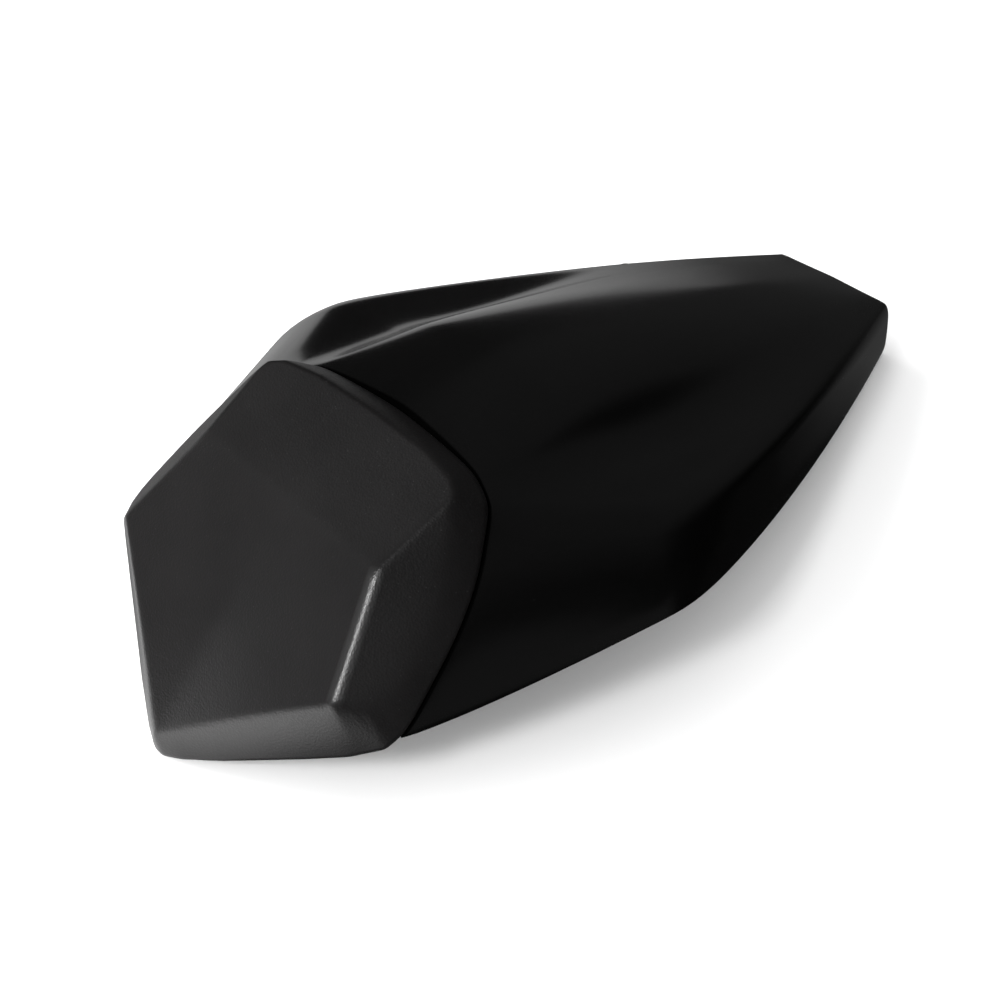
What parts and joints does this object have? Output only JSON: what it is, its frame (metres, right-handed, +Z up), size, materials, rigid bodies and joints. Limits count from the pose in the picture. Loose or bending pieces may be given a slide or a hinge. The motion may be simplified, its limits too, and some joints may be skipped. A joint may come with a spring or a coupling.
{
  "type": "motorcycle seat cowl",
  "caption": "Single-seat tail cowl with a gloss moulded shell, raised hump, flared side wings and a faceted matte backrest pad, with latch striker and hook beneath.",
  "frame": {"origin": "middle of the object's footprint, on the surface that it rests on", "axes": "+Z up, -Y towards the pad and the rider, +Y towards the tail, X across"},
  "size_m": [0.2342, 0.4054, 0.1007],
  "materials": {
    "shell_gloss": "deep gloss black moulding",
    "pad_skin": "finely stippled matte black soft moulding",
    "pan_plastic": "fine moulded texture, black",
    "zinc_steel": "bright zinc plated steel",
    "black_steel": "black coated screws",
    "buffer_rubber": "plain matte rubber"
  },
  "bodies": {
    "root": {"outer_shell": "shell_gloss", "backrest_pad": "pad_skin", "pad_carrier": "pan_plastic", "pad_studs": "zinc_steel", "pad_washers": "zinc_steel", "pad_nuts": "zinc_steel", "base_pan": "pan_plastic", "base_screws": "black_steel", "striker_bracket": "zinc_steel", "striker_pin": "zinc_steel", "striker_bolts": "zinc_steel", "striker_nuts": "zinc_steel", "rear_hook": "zinc_steel", "hook_screws": "black_steel", "front_buffer_left": "buffer_rubber", "front_buffer_right": "buffer_rubber", "rear_buffer_left": "buffer_rubber", "rear_buffer_right": "buffer_rubber"}
  },
  "joints": []
}
